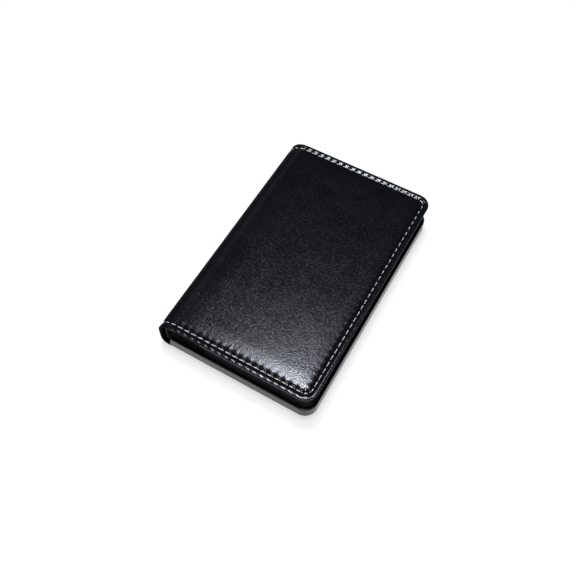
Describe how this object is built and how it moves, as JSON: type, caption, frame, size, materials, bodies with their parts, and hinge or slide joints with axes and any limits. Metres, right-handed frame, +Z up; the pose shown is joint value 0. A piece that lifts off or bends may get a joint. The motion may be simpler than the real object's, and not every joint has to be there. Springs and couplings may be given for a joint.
{
  "type": "vertical card wallet",
  "caption": "Book-opening vertical card wallet with padded top-stitched leather covers, a round folding spine, a rimmed back half with a gusseted card pocket and stepped card slots in front.",
  "frame": {"origin": "under the middle of the shut wallet, on the surface that the back cover lies on", "axes": "+X from the spine to the fore-edge, +Y from tail to head along the longest side, +Z up through the thickness"},
  "size_m": [0.068, 0.105, 0.0179],
  "materials": {
    "outer_leather": "smooth semi-gloss black",
    "pocket_leather": "satin black",
    "lining_cloth": "woven black",
    "seam_thread": "twisted off-white thread",
    "padding_foam": "soft foam",
    "stiffener_board": "grey-brown fibre board"
  },
  "bodies": {
    "back_half": {"back_cover_leather": "outer_leather", "back_cover_padding": "padding_foam", "back_cover_board": "stiffener_board", "back_lining": "lining_cloth", "back_seam_thread": "seam_thread", "card_pocket_gusset": "pocket_leather"},
    "card_pocket": {"card_pocket_panel": "pocket_leather", "card_pocket_seam_thread": "seam_thread"},
    "spine": {"spine_leather": "outer_leather", "spine_padding": "padding_foam", "spine_lining": "lining_cloth", "spine_seam_thread_tail": "seam_thread", "spine_seam_thread_head": "seam_thread"},
    "front_half": {"front_cover_leather": "outer_leather", "front_cover_padding": "padding_foam", "front_cover_board": "stiffener_board", "front_lining": "lining_cloth", "front_slip_pocket": "pocket_leather", "front_card_slot_upper": "pocket_leather", "front_card_slot_lower": "pocket_leather", "front_seam_thread": "seam_thread"}
  },
  "joints": [
    {"name": "spine_fold", "type": "hinge", "parent": "back_half", "child": "spine", "pos_m": [-0.03314, 0, 0.00086], "axis": [0, -1, 0], "range_deg": [0, 90]},
    {"name": "front_cover_fold", "type": "hinge", "parent": "spine", "child": "front_half", "pos_m": [-0.03228, 0, 0.01568], "axis": [0, -1, 0], "range_deg": [0, 90]},
    {"name": "card_pocket_spread", "type": "hinge", "parent": "back_half", "child": "card_pocket", "pos_m": [0.03265, 0, 0.0121], "axis": [0, 1, 0], "range_deg": [0, 5.5], "deforming": ["card_pocket_gusset"]}
  ],
  "couplings": [
    {"joint": "card_pocket_spread", "follows": "spine_fold", "ratio": 0.0611}
  ]
}
